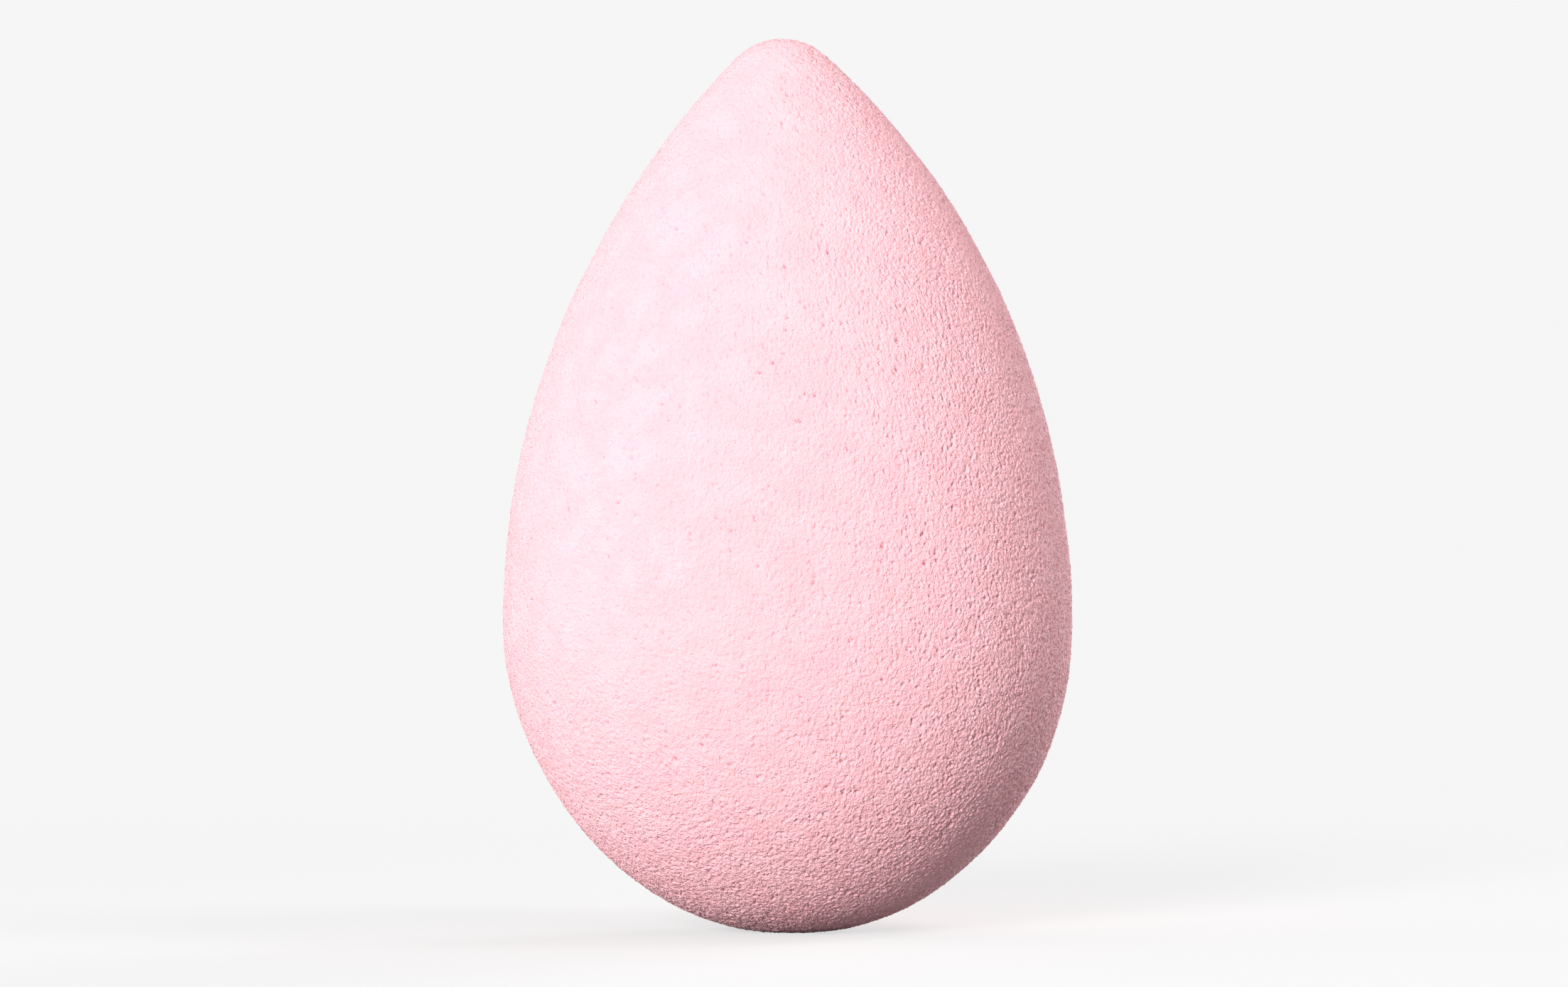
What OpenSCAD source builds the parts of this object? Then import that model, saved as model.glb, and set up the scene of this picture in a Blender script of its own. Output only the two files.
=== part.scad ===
// Teardrop makeup sponge: one piece of soft foam that stands on its round end.
// Sizes are in millimetres. The origin is the middle of the foot, and +Z runs up to the tip.

/* [Sponge] */
// Height of the sponge, from its foot to its tip
sponge_h = 60; // [50:0.5:80]
// Diameter of the sponge at its widest ring
belly_d = 38.2; // [30:0.1:46]
// Height of the widest ring above the foot
belly_h = 20.8; // [18:0.1:28]

/* [Tip and foot] */
// Radius of the rounded tip
tip_r = 4.25; // [1:0.05:8]
// Diameter of the flat that the round end settles to under the sponge's own weight
foot_d = 8.2; // [5:0.1:14]

/* [Hidden] */
$fn = 180;

belly_r = belly_d / 2;
foot_r = foot_d / 2;

// Both side arcs leave the widest ring square to it, so their centres lie level with that ring.
// Radius of the lower arc, which ends on the rim of the foot
base_arc_r = (pow(belly_h, 2) + pow(belly_r - foot_r, 2)) / (2 * (belly_r - foot_r));

// Height of the tip's centre above the widest ring
tip_rise = sponge_h - tip_r - belly_h;
// Radius of the upper arc, which runs smoothly into the tip's own arc
flank_arc_r = (pow(tip_rise, 2) + pow(belly_r, 2) - pow(tip_r, 2)) / (2 * (belly_r - tip_r));
// Height at which the flank and the tip meet, on the line through their two centres
tip_seam_z = belly_h + tip_rise * flank_arc_r / (flank_arc_r - tip_r);

// The part of a disc that lies between two heights, on one side of the axis
module disc_band(centre, radius, low_z, high_z) {
    intersection() {
        translate(centre)
            circle(r = radius);
        translate([0, low_z])
            square([belly_d, high_z - low_z]);
    }
}

// Half of the sponge's outline, from its axis outwards
module outline() {
    disc_band([belly_r - base_arc_r, belly_h], base_arc_r, 0, belly_h);
    disc_band([belly_r - flank_arc_r, belly_h], flank_arc_r, belly_h, tip_seam_z);
    disc_band([0, sponge_h - tip_r], tip_r, tip_seam_z, sponge_h);
}

module foam_body() {
    color("pink")
        rotate_extrude()
            outline();
}

foam_body();
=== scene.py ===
import math

import bpy
import numpy as np
from bpy.props import FloatProperty, FloatVectorProperty, IntProperty, PointerProperty
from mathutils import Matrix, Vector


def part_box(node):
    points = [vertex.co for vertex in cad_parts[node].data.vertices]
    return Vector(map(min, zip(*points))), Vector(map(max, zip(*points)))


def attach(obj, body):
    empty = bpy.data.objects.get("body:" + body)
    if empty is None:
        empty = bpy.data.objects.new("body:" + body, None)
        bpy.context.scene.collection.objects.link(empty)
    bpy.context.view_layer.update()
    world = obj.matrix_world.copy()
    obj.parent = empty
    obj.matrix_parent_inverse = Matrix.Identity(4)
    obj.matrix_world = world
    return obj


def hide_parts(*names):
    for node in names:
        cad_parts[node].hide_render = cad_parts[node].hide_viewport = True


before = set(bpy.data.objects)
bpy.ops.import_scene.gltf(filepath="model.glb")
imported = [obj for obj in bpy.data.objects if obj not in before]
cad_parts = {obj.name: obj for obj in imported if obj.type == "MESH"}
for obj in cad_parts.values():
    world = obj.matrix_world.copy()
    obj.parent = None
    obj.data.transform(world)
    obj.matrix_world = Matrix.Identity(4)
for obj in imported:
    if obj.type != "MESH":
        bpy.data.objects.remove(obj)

bl_info = {
    "name": "Makeup Sponge",
    "version": (1, 0, 0),
    "blender": (4, 5, 0),
    "location": "3D View > Sidebar > Sponge",
    "description": "Builds a teardrop makeup sponge of open-pored pink foam on a plain stage",
    "category": "Object",
}

NODE = "foam_body"
BODY_LOW, BODY_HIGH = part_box(NODE)
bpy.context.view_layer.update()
MM = 1000.0          # millimetres in a metre, for patterns that are written in millimetres
BAKE_MAP = "OFBake"
REST_PLACE = "rest_place"
# Depth below the skin, which shapes the pores and also sets the painted shade in them
PORE_DEPTH = "pore_depth"

# The frame of the photograph, and the sponge's outline in it
PHOTO_WIDE, PHOTO_TALL = 2207, 1389
TOP_PX, BASE_PX, MIDDLE_PX = 53.5, 1309.5, 1108.5

# Where the tip's lean starts and the round end's lean starts and is full, as shares of the height
TIP_LEAN_FROM = 0.75
BASE_LEAN_FROM, BASE_LEAN_FULL = 0.35, 0.12
# The pressing at the table fades out between these heights, in multiples of its depth
PRESS_FULL, PRESS_END = 3, 8

# The UV map's cells, one for each side of the cube, the margin inside each and the corners of a face
MAP_ACROSS, MAP_UP = 3, 2
MAP_MARGIN = 0.004
FACE_CORNERS = 4

# The smallest bubble's radius as a share of the largest, and the curve of a bubble's wall
SMALLEST_BUBBLE = 0.35
WALL_CURVE = 1.5
# Scale of the noise that bends the cells, for cells of size 1
BEND_SCALE = 0.8
# How sharply the patches of deeper pink stand out
PATCH_CONTRAST = 3.0

# Places of the Mix node's colour sockets, whose names its other sockets share
MIX_FIRST, MIX_SECOND, MIX_RESULT = 6, 7, 2

TABLE_SIDES = 96
CLIP_NEAR, CLIP_FAR = 0.01, 10.0


class SpongeShape(bpy.types.PropertyGroup):
    """Sizes of the foam body that the CAD box doesn't give"""
    belly_height: FloatProperty(
        name="Belly height", description="Height of the widest ring above the table",
        default=0.0208, unit="LENGTH", subtype="DISTANCE")
    tip_radius: FloatProperty(
        name="Tip radius", description="Radius of the rounded tip",
        default=0.00425, unit="LENGTH", subtype="DISTANCE")
    base_radius: FloatProperty(
        name="Base radius", description="Radius of the round end before it rests on anything",
        default=0.017, unit="LENGTH", subtype="DISTANCE")
    rest_depth: FloatProperty(
        name="Rest depth", description="How far the soft round end is pressed in by its own weight",
        default=0.00018, unit="LENGTH", subtype="DISTANCE")
    tip_lean: FloatProperty(
        name="Tip lean", description="How far the tip leans along X from the axis",
        default=-0.00042, unit="LENGTH", subtype="DISTANCE")
    base_lean: FloatProperty(
        name="Base lean", description="How far the round end swells along X from the axis",
        default=0.0003, unit="LENGTH", subtype="DISTANCE")
    cage_rows: IntProperty(
        name="Cage rows", description="Faces along each edge of the cube that the cage is shaped from",
        default=48, min=8, max=60)
    refinements: IntProperty(
        name="Refinements", description="How often the cage's faces are split in four",
        default=3, min=1, max=3)


class FoamSurface(bpy.types.PropertyGroup):
    """Colours, pores and relief of the foam. Sizes are in millimetres"""
    skin_colour: FloatVectorProperty(
        name="Skin colour", description="Colour of the foam between its pores",
        subtype="COLOR", size=3, min=0, max=1, default=(0.94, 0.55, 0.592))
    blush_colour: FloatVectorProperty(
        name="Blush colour", description="Colour of the slightly deeper pink patches",
        subtype="COLOR", size=3, min=0, max=1, default=(0.94, 0.515, 0.558))
    # Painted shade: the pore colour makes the foam darker and deeper pink down in its pores, more the deeper
    # they are, standing in for the shade and pink inter-reflection there. Pore start and pore reach are the
    # depths where this painted shade begins and is full.
    pore_shade_colour: FloatVectorProperty(
        name="Pore colour", description="Colour deep down in the open pores",
        subtype="COLOR", size=3, min=0, max=1, default=(0.84, 0.25, 0.345))
    pore_start: FloatProperty(
        name="Pore start", description="Depth at which the pore colour begins, in millimetres", default=0.12)
    pore_reach: FloatProperty(
        name="Pore reach", description="Depth at which the pore colour is full, in millimetres", default=0.21)
    pore_spacing: FloatProperty(
        name="Pore spacing", description="Size of a foam cell, in millimetres", default=0.3)
    pore_radius: FloatProperty(
        name="Pore radius", description="Largest radius of a small open pore, in millimetres", default=0.16)
    pore_depth: FloatProperty(
        name="Pore depth", description="How deep a small pore is, as a share of its radius", default=1.15)
    hole_spacing: FloatProperty(
        name="Hole spacing", description="Spacing of the few large holes, in millimetres", default=0.9)
    hole_radius: FloatProperty(
        name="Hole radius", description="Largest radius of a large hole, in millimetres", default=0.23)
    rise: FloatProperty(
        name="Rise", description="How much taller than wide the foam's cells are", default=1.05)
    bend: FloatProperty(
        name="Bend", description="How far the cells are pushed out of round, as a share of their spacing",
        default=0.7)
    relief_length: FloatProperty(
        name="Relief length", description="Size of the bumps of the skin, in millimetres", default=0.16)
    relief_height: FloatProperty(
        name="Relief height", description="Height of the bumps of the skin, in millimetres", default=0.3)
    hollow_length: FloatProperty(
        name="Hollow length", description="Size of the soft hollows of the skin, in millimetres", default=6.0)
    hollow_height: FloatProperty(
        name="Hollow height", description="Height of the soft hollows, in millimetres", default=0.16)
    grain_length: FloatProperty(
        name="Grain length", description="Size of the finest grain, in millimetres", default=0.11)
    grain_height: FloatProperty(
        name="Grain height", description="Height of the finest grain, in millimetres", default=0.14)
    patch_length: FloatProperty(
        name="Patch length", description="Size of the patches of deeper pink, in millimetres", default=2.2)
    dullness: FloatProperty(
        name="Dullness", description="How evenly the foam scatters light that falls on it at a slant",
        default=0.45, subtype="FACTOR", min=0, max=1)
    roughness: FloatProperty(
        name="Roughness", description="How widely the foam's faint shine is spread",
        default=0.9, subtype="FACTOR", min=0, max=1)
    shine: FloatProperty(
        name="Shine", description="Strength of the foam's faint shine",
        default=0.05, subtype="FACTOR", min=0, max=1)


class Stage(bpy.types.PropertyGroup):
    """Camera, lamps and the pale table"""
    lens: FloatProperty(
        name="Lens", description="Focal length of the camera, in millimetres", default=150.0)
    backdrop: FloatProperty(
        name="Backdrop", description="Brightness of the plain background", default=0.92)
    table_shade: FloatProperty(
        name="Table shade", description="Brightness of the table, which lights the sponge from below",
        default=0.28, subtype="FACTOR")
    table_glow: FloatProperty(
        name="Table glow", description="What the camera sees of the table apart from its lamplight",
        default=0.64)
    table_radius: FloatProperty(
        name="Table radius", description="Radius of the round table",
        default=0.8, unit="LENGTH", subtype="DISTANCE")
    table_near: FloatProperty(
        name="Table near", description="How far from the middle the table starts to fade into the background",
        default=0.05, unit="LENGTH", subtype="DISTANCE")
    table_far: FloatProperty(
        name="Table far", description="How far from the middle the table has faded out",
        default=0.18, unit="LENGTH", subtype="DISTANCE")
    lamp_size: FloatProperty(
        name="Lamp size", description="Side of each square lamp", default=0.2,
        unit="LENGTH", subtype="DISTANCE")
    lamp_away: FloatProperty(
        name="Lamp distance", description="How far each lamp stands from the sponge", default=0.6,
        unit="LENGTH", subtype="DISTANCE")
    key_power: FloatProperty(
        name="Key power", description="Power of the main lamp at the front left", default=4.55, unit="POWER")
    key_aim: FloatVectorProperty(
        name="Key aim", description="Angle from the camera's side towards +X, and angle above the level",
        size=2, unit="ROTATION", default=(math.radians(-21), math.radians(12.5)))
    left_power: FloatProperty(
        name="Left power", description="Power of the weak lamp that lights the left edge", default=1.2,
        unit="POWER")
    left_aim: FloatVectorProperty(
        name="Left aim", description="Angle from the camera's side towards +X, and angle above the level",
        size=2, unit="ROTATION", default=(math.radians(-98), math.radians(0)))
    right_power: FloatProperty(
        name="Right power", description="Power of the lamp behind the sponge that lights its right edge",
        default=5.8, unit="POWER")
    right_aim: FloatVectorProperty(
        name="Right aim", description="Angle from the camera's side towards +X, and angle above the level",
        size=2, unit="ROTATION", default=(math.radians(140), math.radians(3)))
    top_power: FloatProperty(
        name="Top power", description="Power of the weak lamp above the right side", default=0.83,
        unit="POWER")
    top_aim: FloatVectorProperty(
        name="Top aim", description="Angle from the camera's side towards +X, and angle above the level",
        size=2, unit="ROTATION", default=(math.radians(80), math.radians(50)))
    room_light: FloatProperty(
        name="Room light", description="Strength of the even light from all round", default=0.39)


def arc_to_pole(half_width, reach, pole_radius):
    """Radius of the arc that leaves the widest ring square to it and runs smoothly into the pole's arc."""
    rise = reach - pole_radius
    return (rise ** 2 + half_width ** 2 - pole_radius ** 2) / (2 * (half_width - pole_radius))


def outline_arcs(shape):
    """The outline as four arcs from the base to the tip: (centre r, centre z, radius, start, end)."""
    half_width = (BODY_HIGH.x - BODY_LOW.x) / 2
    belly = BODY_LOW.z + shape.belly_height
    base_reach = shape.belly_height + shape.rest_depth
    tip_reach = BODY_HIGH.z - belly
    base_arc = arc_to_pole(half_width, base_reach, shape.base_radius)
    flank_arc = arc_to_pole(half_width, tip_reach, shape.tip_radius)
    base_turn = math.atan2(base_reach - shape.base_radius, base_arc - half_width)
    flank_turn = math.atan2(tip_reach - shape.tip_radius, flank_arc - half_width)
    right_angle = math.pi / 2
    return [
        (0.0, belly - base_reach + shape.base_radius, shape.base_radius, -right_angle, -base_turn),
        (half_width - base_arc, belly, base_arc, -base_turn, 0.0),
        (half_width - flank_arc, belly, flank_arc, 0.0, flank_turn),
        (0.0, BODY_HIGH.z - shape.tip_radius, shape.tip_radius, flank_turn, right_angle),
    ]


def outline_at(arcs, share):
    """Radius and height of the outline at each share of its length, from 0 at the base to 1 at the tip."""
    lengths = np.array([radius * (end - start) for _, _, radius, start, end in arcs])
    ends = np.cumsum(lengths)
    along = share * ends[-1]
    which = np.minimum(np.searchsorted(ends, along), len(arcs) - 1)
    centre_r, centre_z, radius, start, _ = np.array(arcs)[which].T
    angle = start + (along - (ends - lengths)[which]) / radius
    return np.maximum(centre_r + radius * np.cos(angle), 0.0), centre_z + radius * np.sin(angle)


def smooth_step(low, high, value):
    """0 below low, 1 above high and a smooth rise between them. low may be the larger one."""
    share = np.clip((value - low) / (high - low), 0.0, 1.0)
    return share * share * (3 - 2 * share)


def places_of(piece):
    """The piece's vertices as an array of one row each."""
    places = np.empty(len(piece.data.vertices) * 3)
    piece.data.vertices.foreach_get("co", places)
    return places.reshape(-1, 3)


def put_places(piece, places):
    """Moves the piece's vertices."""
    piece.data.vertices.foreach_set("co", places.ravel())
    piece.data.update()


def deselect_all():
    """Nothing stays selected, so that the next operator acts on its own piece alone."""
    if bpy.context.mode != "OBJECT":
        bpy.ops.object.mode_set(mode="OBJECT")
    bpy.ops.object.select_all(action="DESELECT")


def lay_out_map(piece):
    """A UV map with one cell for each side of the cube, three across and two up."""
    mesh = piece.data
    for layer in list(mesh.uv_layers):
        mesh.uv_layers.remove(layer)
    layer = mesh.uv_layers.new(name=BAKE_MAP)
    places = places_of(piece)
    half = np.abs(places).max()
    corner = np.empty(len(mesh.loops), int)
    mesh.loops.foreach_get("vertex_index", corner)
    normals = np.empty(len(mesh.polygons) * 3)
    mesh.polygons.foreach_get("normal", normals)
    normals = np.repeat(normals.reshape(-1, 3), FACE_CORNERS, axis=0)
    side = np.argmax(np.abs(normals), axis=1)
    back = np.take_along_axis(normals, side[:, None], 1)[:, 0] < 0
    across = places[corner, (side + 1) % 3] / (2 * half) + 0.5
    up = places[corner, (side + 2) % 3] / (2 * half) + 0.5
    across = np.where(back, 1 - across, across)
    turned = side == 0
    across, up = np.where(turned, across, 1 - up), np.where(turned, up, across)
    cell_wide, cell_tall = 1 / MAP_ACROSS, 1 / MAP_UP
    flat = np.stack([
        side * cell_wide + MAP_MARGIN + across * (cell_wide - 2 * MAP_MARGIN),
        back * cell_tall + MAP_MARGIN + up * (cell_tall - 2 * MAP_MARGIN),
    ], axis=1)
    layer.data.foreach_set("uv", flat.ravel().astype(np.float32))
    layer.active_render = True


def shape_cage(piece, shape):
    """Turns the cube's surface into the teardrop: rings by their share of the outline, with a slight lean."""
    cube = places_of(piece)
    spread = np.tan(cube / np.abs(cube).max() * math.pi / 4)
    spread /= np.linalg.norm(spread, axis=1, keepdims=True)
    share = np.arccos(np.clip(-spread[:, 2], -1, 1)) / math.pi
    turn = np.arctan2(spread[:, 1], spread[:, 0])
    radius, height = outline_at(outline_arcs(shape), share)
    tall = BODY_HIGH.z - BODY_LOW.z
    middle = (BODY_LOW + BODY_HIGH) / 2
    up = (height - BODY_LOW.z) / tall
    lean = shape.tip_lean * np.clip((up - TIP_LEAN_FROM) / (1 - TIP_LEAN_FROM), 0, 1) ** 2
    lean += shape.base_lean * smooth_step(BASE_LEAN_FROM, BASE_LEAN_FULL, up)
    put_places(piece, np.stack([
        middle.x + radius * np.cos(turn) + lean,
        middle.y + radius * np.sin(turn),
        height,
    ], axis=1))


def settle(piece, shape):
    """Presses the lowest part of the round end flat against the table, with a soft rim round the flat."""
    places = places_of(piece)
    above = places[:, 2] - BODY_LOW.z
    soft = shape.rest_depth
    pressed = (above + np.sqrt(above ** 2 + soft ** 2)) / 2
    near = smooth_step(PRESS_END * soft, PRESS_FULL * soft, above)
    places[:, 2] = BODY_LOW.z + above + (pressed - above) * near
    places[:, 2] -= places[:, 2].min() - BODY_LOW.z
    put_places(piece, places)


def node_of(tree, kind, values=None, **settings):
    """Adds a node with its settings, and fills or links its inputs by name or number."""
    node = tree.nodes.new(kind)
    for key, value in settings.items():
        setattr(node, key, value)
    for key, value in (values or {}).items():
        if isinstance(value, bpy.types.NodeSocket):
            tree.links.new(value, node.inputs[key])
        else:
            node.inputs[key].default_value = value
    return node


def math_of(tree, operation, first, second=0.0, clamp=False):
    """The output of one Math node."""
    return node_of(tree, "ShaderNodeMath", {0: first, 1: second}, operation=operation,
                   use_clamp=clamp).outputs[0]


def vector_of(tree, operation, first, second):
    """The output of one Vector Math node."""
    return node_of(tree, "ShaderNodeVectorMath", {0: first, 1: second}, operation=operation).outputs[0]


def cells_group():
    """A geometry node group of round bubbles that the skin cuts open. It puts out how deep they lie."""
    name = "Foam cells"
    if name in bpy.data.node_groups:
        return bpy.data.node_groups[name]
    tree = bpy.data.node_groups.new(name, "GeometryNodeTree")
    tree.interface.new_socket("Place", in_out="INPUT", socket_type="NodeSocketVector")
    for socket in ("Spacing", "Radius", "Rise"):
        tree.interface.new_socket(socket, in_out="INPUT", socket_type="NodeSocketFloat")
    tree.interface.new_socket("Depth", in_out="OUTPUT", socket_type="NodeSocketFloat")
    given = node_of(tree, "NodeGroupInput").outputs
    tall_cell = math_of(tree, "MULTIPLY", given["Spacing"], given["Rise"])
    cell = node_of(tree, "ShaderNodeCombineXYZ",
                   {0: given["Spacing"], 1: given["Spacing"], 2: tall_cell}).outputs[0]
    in_cells = vector_of(tree, "DIVIDE", given["Place"], cell)
    cells = node_of(tree, "ShaderNodeTexVoronoi", {"Vector": in_cells, "Scale": 1.0})
    away = math_of(tree, "MULTIPLY", cells.outputs["Distance"], given["Spacing"])
    chance = node_of(tree, "ShaderNodeSeparateXYZ", {0: cells.outputs["Color"]}).outputs[0]
    size = node_of(tree, "ShaderNodeMapRange",
                   {"Value": chance, "To Min": SMALLEST_BUBBLE, "To Max": 1.0})
    radius = math_of(tree, "MULTIPLY", given["Radius"], size.outputs[0])
    share = math_of(tree, "DIVIDE", away, radius)
    inside = math_of(tree, "SUBTRACT", 1.0, math_of(tree, "MULTIPLY", share, share), clamp=True)
    depth = math_of(tree, "MULTIPLY", math_of(tree, "POWER", inside, WALL_CURVE), radius)
    node_of(tree, "NodeGroupOutput", {"Depth": depth})
    return tree


def bent_place(tree, place, foam):
    """The place pushed about by noise, so that the cells laid out on it aren't perfectly round."""
    noise = node_of(tree, "ShaderNodeTexNoise",
                    {"Vector": place, "Scale": BEND_SCALE / foam.pore_spacing, "Detail": 1.0})
    push = vector_of(tree, "SUBTRACT", noise.outputs["Color"], (0.5, 0.5, 0.5))
    push = node_of(tree, "ShaderNodeVectorMath",
                   {0: push, "Scale": foam.bend * foam.pore_spacing}, operation="SCALE").outputs[0]
    return vector_of(tree, "ADD", place, push)


def noise_of(tree, place, length, height, detail=1.0):
    """Noise of a given size, in millimetres, that runs up and down about zero by half its height."""
    noise = node_of(tree, "ShaderNodeTexNoise", {"Vector": place, "Scale": 1 / length, "Detail": detail})
    return math_of(tree, "MULTIPLY", math_of(tree, "SUBTRACT", noise.outputs[0], 0.5), height)


def cell_depth(tree, place, spacing, radius, rise):
    """The depth that the foam cells group gives for one size of cell."""
    cells = node_of(tree, "GeometryNodeGroup", node_tree=cells_group())
    tree.links.new(place, cells.inputs["Place"])
    cells.inputs["Spacing"].default_value = spacing
    cells.inputs["Radius"].default_value = radius
    cells.inputs["Rise"].default_value = rise
    return cells.outputs["Depth"]


def kept_as(tree, geometry, name, value, data_type):
    """The geometry with the value kept on its points under a name, which the material reads."""
    return node_of(tree, "GeometryNodeStoreNamedAttribute",
                   {"Geometry": geometry, "Name": name, "Value": value},
                   data_type=data_type, domain="POINT").outputs[0]


def skin_group(foam):
    """A geometry node group that works the pores, holes, fine relief and soft hollows into the skin."""
    tree = bpy.data.node_groups.new("Foam skin", "GeometryNodeTree")
    tree.interface.new_socket("Geometry", in_out="INPUT", socket_type="NodeSocketGeometry")
    tree.interface.new_socket("Geometry", in_out="OUTPUT", socket_type="NodeSocketGeometry")
    smooth = node_of(tree, "NodeGroupInput").outputs[0]
    place = node_of(tree, "GeometryNodeInputPosition").outputs[0]
    in_mm = node_of(tree, "ShaderNodeVectorMath", {0: place, "Scale": MM}, operation="SCALE").outputs[0]
    bent = bent_place(tree, in_mm, foam)
    pores = cell_depth(tree, bent, foam.pore_spacing, foam.pore_radius, foam.rise)
    pores = math_of(tree, "MULTIPLY", pores, foam.pore_depth)
    holes = cell_depth(tree, bent, foam.hole_spacing, foam.hole_radius, foam.rise)
    relief = noise_of(tree, in_mm, foam.relief_length, foam.relief_height)
    hollows = noise_of(tree, in_mm, foam.hollow_length, foam.hollow_height)
    depth = math_of(tree, "SUBTRACT", math_of(tree, "MAXIMUM", pores, holes), relief)
    kept = kept_as(tree, smooth, REST_PLACE, place, "FLOAT_VECTOR")
    kept = kept_as(tree, kept, PORE_DEPTH, depth, "FLOAT")
    raised = math_of(tree, "DIVIDE", math_of(tree, "SUBTRACT", hollows, depth), MM)
    normal = node_of(tree, "GeometryNodeInputNormal").outputs[0]
    offset = node_of(tree, "ShaderNodeVectorMath", {0: normal, "Scale": raised}, operation="SCALE")
    moved = node_of(tree, "GeometryNodeSetPosition", {"Geometry": kept, "Offset": offset.outputs[0]})
    part = node_of(tree, "ShaderNodeSeparateXYZ", {0: place}).outputs
    resting = math_of(tree, "MAXIMUM", part["Z"], BODY_LOW.z)
    resting = node_of(tree, "ShaderNodeCombineXYZ", {0: part["X"], 1: part["Y"], 2: resting}).outputs[0]
    moved = node_of(tree, "GeometryNodeSetPosition", {"Geometry": moved.outputs[0], "Position": resting})
    node_of(tree, "NodeGroupOutput", {0: moved.outputs[0]})
    return tree


def mixed_colour(tree, share, first, second):
    """The first colour where share is 0 and the second where it is 1. The first may be a socket."""
    mix = node_of(tree, "ShaderNodeMix", {0: share}, data_type="RGBA")
    if isinstance(first, bpy.types.NodeSocket):
        tree.links.new(first, mix.inputs[MIX_FIRST])
    else:
        mix.inputs[MIX_FIRST].default_value = (*first, 1)
    mix.inputs[MIX_SECOND].default_value = (*second, 1)
    return mix.outputs[MIX_RESULT]


def foam_material(foam):
    """Matte pink foam, with painted shade that makes it darker and deeper pink down in its pores, and a
    mottled skin.
    """
    material = bpy.data.materials.new("open_pored_foam")
    material.use_nodes = True
    tree = material.node_tree
    shader = tree.nodes["Principled BSDF"]
    place = node_of(tree, "ShaderNodeAttribute", attribute_name=REST_PLACE).outputs["Vector"]
    in_mm = node_of(tree, "ShaderNodeVectorMath", {0: place, "Scale": MM}, operation="SCALE").outputs[0]
    depth = node_of(tree, "ShaderNodeAttribute", attribute_name=PORE_DEPTH).outputs["Fac"]

    patches = noise_of(tree, in_mm, foam.patch_length, PATCH_CONTRAST, detail=2.0)
    patches = math_of(tree, "ADD", patches, 0.5, clamp=True)
    colour = mixed_colour(tree, patches, foam.skin_colour, foam.blush_colour)
    # Painted shade: darker, deeper pink down in the pores, by their depth below the skin
    deep = node_of(tree, "ShaderNodeMapRange", {
        "Value": depth, "From Min": foam.pore_start, "From Max": foam.pore_reach}).outputs[0]
    colour = mixed_colour(tree, deep, colour, foam.pore_shade_colour)
    tree.links.new(colour, shader.inputs["Base Color"])

    grain = noise_of(tree, in_mm, foam.grain_length, foam.grain_height)
    bump = node_of(tree, "ShaderNodeBump", {
        "Height": math_of(tree, "DIVIDE", grain, MM), "Distance": 1.0, "Strength": 1.0})
    tree.links.new(bump.outputs[0], shader.inputs["Normal"])
    shader.inputs["Diffuse Roughness"].default_value = foam.dullness
    shader.inputs["Roughness"].default_value = foam.roughness
    shader.inputs["Specular IOR Level"].default_value = foam.shine
    return material


def apply_modifier(piece, kind, **settings):
    """Adds a modifier with its settings and applies it."""
    bpy.context.view_layer.objects.active = piece
    modifier = piece.modifiers.new(kind.title(), kind)
    for key, value in settings.items():
        setattr(modifier, key, value)
    bpy.ops.object.modifier_apply(modifier=modifier.name)


class SPONGE_OT_foam_body(bpy.types.Operator):
    """Models the teardrop foam body with its pores, in place of the plain CAD solid"""
    bl_idname = "sponge.foam_body"
    bl_label = "Foam Body"

    def execute(self, context):
        shape, foam = context.scene.sponge_shape, context.scene.sponge_foam
        deselect_all()
        bpy.ops.mesh.primitive_cube_add(size=BODY_HIGH.x - BODY_LOW.x)
        piece = context.object
        piece.name = piece.data.name = "porous_foam_body"
        bpy.ops.object.mode_set(mode="EDIT")
        bpy.ops.mesh.select_all(action="SELECT")
        bpy.ops.mesh.subdivide(number_cuts=shape.cage_rows - 1)
        bpy.ops.object.mode_set(mode="OBJECT")
        lay_out_map(piece)
        shape_cage(piece, shape)
        apply_modifier(piece, "SUBSURF", levels=shape.refinements, render_levels=shape.refinements)
        settle(piece, shape)
        apply_modifier(piece, "NODES", node_group=skin_group(foam))
        bpy.ops.object.shade_smooth()
        piece.data.materials.append(foam_material(foam))
        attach(piece, "root")
        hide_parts(NODE)
        return {"FINISHED"}


def area_lamp(name, power, aim, stage):
    """A square lamp that faces the sponge's middle, placed by its two angles."""
    lamp = bpy.data.lights.new(name, "AREA")
    lamp.shape = "SQUARE"
    lamp.size = stage.lamp_size
    lamp.energy = power
    lamp_object = bpy.data.objects.new(name, lamp)
    bpy.context.scene.collection.objects.link(lamp_object)
    middle = (BODY_LOW + BODY_HIGH) / 2
    side, lift = aim
    lamp_object.location = middle
    lamp_object.location.x += stage.lamp_away * math.sin(side) * math.cos(lift)
    lamp_object.location.y -= stage.lamp_away * math.cos(side) * math.cos(lift)
    lamp_object.location.z += stage.lamp_away * math.sin(lift)
    lamp_object.rotation_euler = (middle - lamp_object.location).to_track_quat("-Z", "Y").to_euler()


def seen_or_lit(tree, seen, lit):
    """One value for what is seen directly or in a reflection, and another for what lights the sponge."""
    path = node_of(tree, "ShaderNodeLightPath").outputs
    looks = math_of(tree, "MAXIMUM", path["Is Camera Ray"], path["Is Glossy Ray"])
    looks = math_of(tree, "MAXIMUM", looks, path["Is Transmission Ray"])
    return node_of(tree, "ShaderNodeMapRange", {"Value": looks, "To Min": lit, "To Max": seen}).outputs[0]


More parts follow.
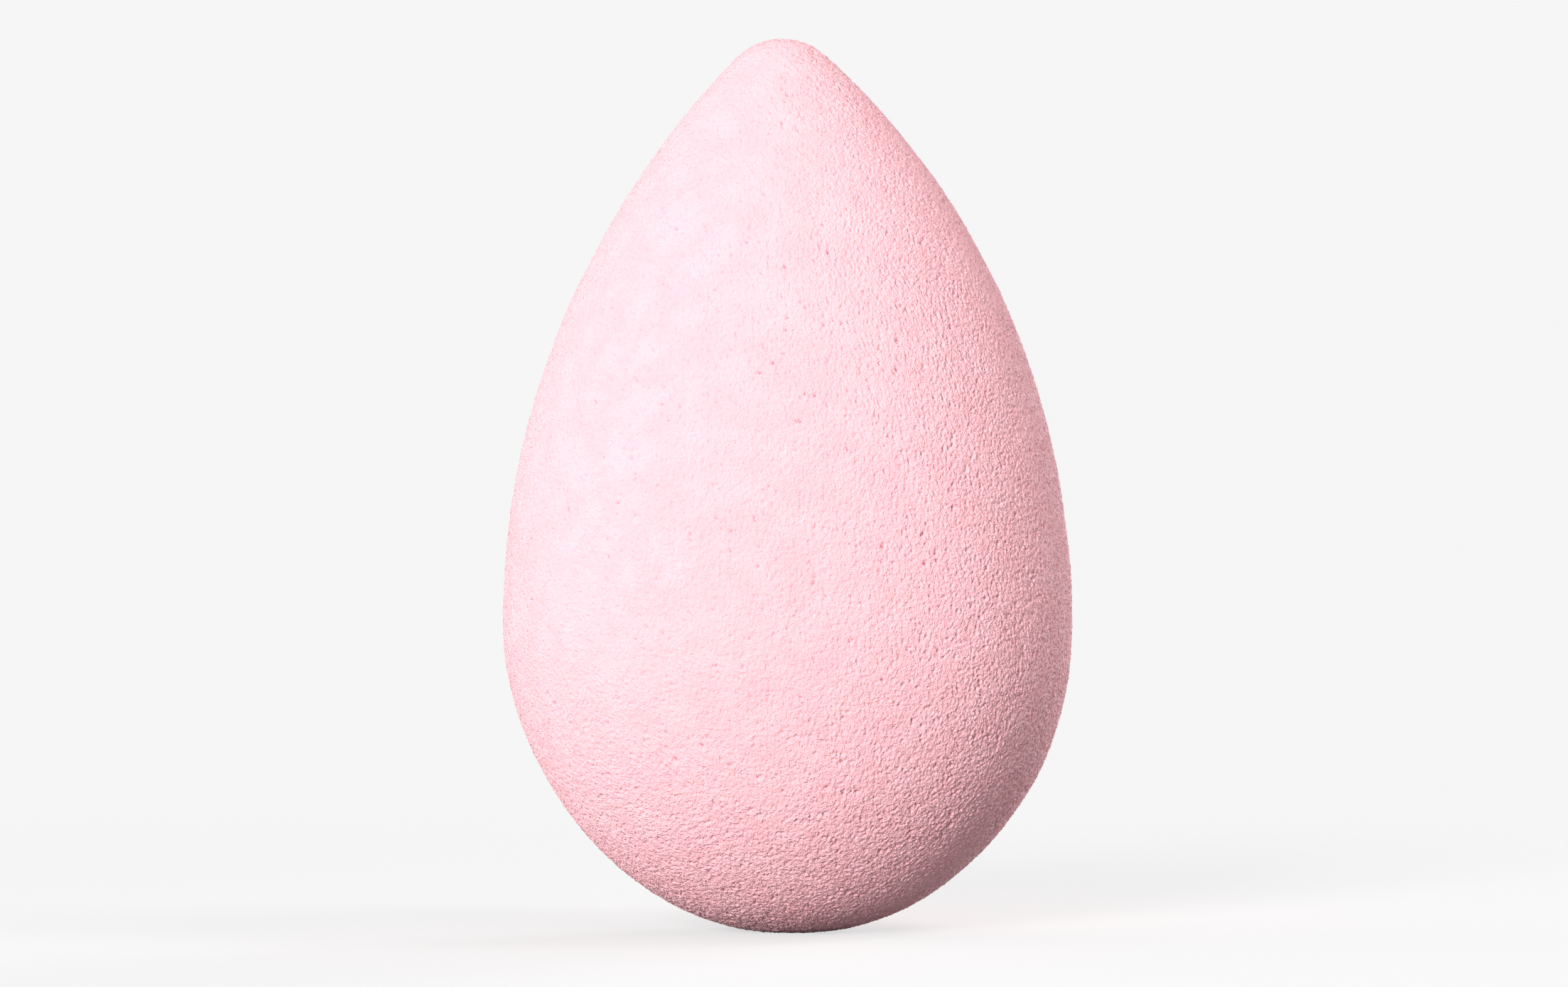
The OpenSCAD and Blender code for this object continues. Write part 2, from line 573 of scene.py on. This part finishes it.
def table_material(stage):
    """A plain table that takes the sponge's shadow and fades into the background further out."""
    material = bpy.data.materials.new("pale_table")
    material.use_nodes = True
    tree = material.node_tree
    shader = tree.nodes["Principled BSDF"]
    shader.inputs["Base Color"].default_value = (*[stage.table_shade] * 3, 1)
    shader.inputs["Roughness"].default_value = 1.0
    shader.inputs["Specular IOR Level"].default_value = 0.0
    shader.inputs["Emission Color"].default_value = (1, 1, 1, 1)
    tree.links.new(seen_or_lit(tree, stage.table_glow, 0.0), shader.inputs["Emission Strength"])
    place = node_of(tree, "ShaderNodeTexCoord").outputs["Object"]
    away = node_of(tree, "ShaderNodeVectorMath", {0: place}, operation="LENGTH").outputs["Value"]
    faded = node_of(tree, "ShaderNodeMapRange", {
        "Value": away, "From Min": stage.table_near, "From Max": stage.table_far},
        interpolation_type="SMOOTHSTEP").outputs[0]
    faded = math_of(tree, "MULTIPLY", faded, node_of(tree, "ShaderNodeLightPath").outputs["Is Camera Ray"])
    clear = node_of(tree, "ShaderNodeBsdfTransparent").outputs[0]
    mixed = node_of(tree, "ShaderNodeMixShader", {0: faded, 1: shader.outputs[0], 2: clear})
    tree.links.new(mixed.outputs[0], tree.nodes["Material Output"].inputs["Surface"])
    return material


def set_up_room(scene, stage):
    """Even light from all round, behind a plain pale background."""
    world = bpy.data.worlds.new("room")
    scene.world = world
    world.use_nodes = True
    tree = world.node_tree
    background = tree.nodes["Background"]
    background.inputs["Color"].default_value = (1, 1, 1, 1)
    tree.links.new(seen_or_lit(tree, stage.backdrop, stage.room_light), background.inputs["Strength"])


def set_up_camera(scene, stage):
    """A camera level with the middle of the photograph, as far off as its frame asks for."""
    camera = bpy.data.cameras.new("camera")
    camera.lens = stage.lens
    seen_from = bpy.data.objects.new("camera", camera)
    scene.collection.objects.link(seen_from)
    scene.camera = seen_from
    per_px = (BODY_HIGH.z - BODY_LOW.z) / (BASE_PX - TOP_PX)
    away = camera.lens / camera.sensor_width * PHOTO_WIDE * per_px
    middle = (BODY_LOW + BODY_HIGH) / 2
    seen_from.location = (
        middle.x + (PHOTO_WIDE / 2 - MIDDLE_PX) * per_px,
        middle.y - away,
        BODY_LOW.z + (BASE_PX - PHOTO_TALL / 2) * per_px,
    )
    seen_from.rotation_euler = (math.pi / 2, 0, 0)
    camera.clip_start, camera.clip_end = CLIP_NEAR, CLIP_FAR


class SPONGE_OT_stage(bpy.types.Operator):
    """Sets up the pale table, the soft lamps and the camera"""
    bl_idname = "sponge.stage"
    bl_label = "Stage"

    def execute(self, context):
        scene, stage = context.scene, context.scene.sponge_stage
        deselect_all()
        bpy.ops.mesh.primitive_circle_add(vertices=TABLE_SIDES, radius=stage.table_radius,
                                          fill_type="NGON", location=(0, 0, BODY_LOW.z))
        table = context.object
        table.name = table.data.name = "pale_table"
        table.data.materials.append(table_material(stage))
        area_lamp("key", stage.key_power, stage.key_aim, stage)
        area_lamp("left", stage.left_power, stage.left_aim, stage)
        area_lamp("right", stage.right_power, stage.right_aim, stage)
        area_lamp("top", stage.top_power, stage.top_aim, stage)
        set_up_room(scene, stage)
        set_up_camera(scene, stage)
        scene.view_settings.view_transform = "Standard"
        return {"FINISHED"}


class SPONGE_PT_panel(bpy.types.Panel):
    """Lists the steps that build the sponge"""
    bl_label = "Makeup Sponge"
    bl_idname = "SPONGE_PT_panel"
    bl_space_type = "VIEW_3D"
    bl_region_type = "UI"
    bl_category = "Sponge"

    def draw(self, context):
        for operator in OPERATORS:
            self.layout.operator(operator.bl_idname)


OPERATORS = (SPONGE_OT_foam_body, SPONGE_OT_stage)
CLASSES = (SpongeShape, FoamSurface, Stage, *OPERATORS, SPONGE_PT_panel)


def register():
    """Adds the classes, and their settings on the scene."""
    for cls in CLASSES:
        bpy.utils.register_class(cls)
    bpy.types.Scene.sponge_shape = PointerProperty(type=SpongeShape)
    bpy.types.Scene.sponge_foam = PointerProperty(type=FoamSurface)
    bpy.types.Scene.sponge_stage = PointerProperty(type=Stage)


def unregister():
    """Takes away what register added."""
    del bpy.types.Scene.sponge_stage
    del bpy.types.Scene.sponge_foam
    del bpy.types.Scene.sponge_shape
    for cls in reversed(CLASSES):
        bpy.utils.unregister_class(cls)


def main():
    """Builds the sponge and its stage."""
    register()
    bpy.ops.sponge.foam_body()
    bpy.ops.sponge.stage()


if __name__ == "__main__":
    main()
